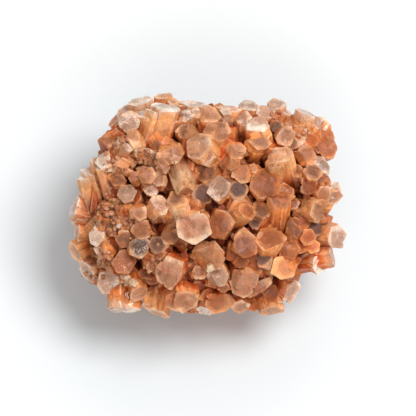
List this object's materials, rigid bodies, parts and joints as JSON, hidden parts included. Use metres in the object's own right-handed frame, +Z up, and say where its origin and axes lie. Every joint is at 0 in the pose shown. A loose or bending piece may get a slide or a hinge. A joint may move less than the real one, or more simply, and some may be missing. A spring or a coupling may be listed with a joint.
{
  "type": "aragonite sputnik cluster",
  "caption": "Natural aragonite mineral specimen: a rounded cluster of stubby six-sided orange-brown crystals radiating from one root, resting on its underside crystals.",
  "frame": {"origin": "on the ground under the middle of the cluster's outline, on the flat cap of a downward crystal", "axes": "+Z up, +X along the cluster's longest side; the best side faces up and leans 20 degrees towards -Y"},
  "size_m": [0.0672, 0.0534, 0.0465],
  "materials": {
    "aragonite": "satin, slightly translucent natural crystal faces"
  },
  "bodies": {
    "root": {"crystal_cluster": "aragonite"}
  },
  "joints": []
}
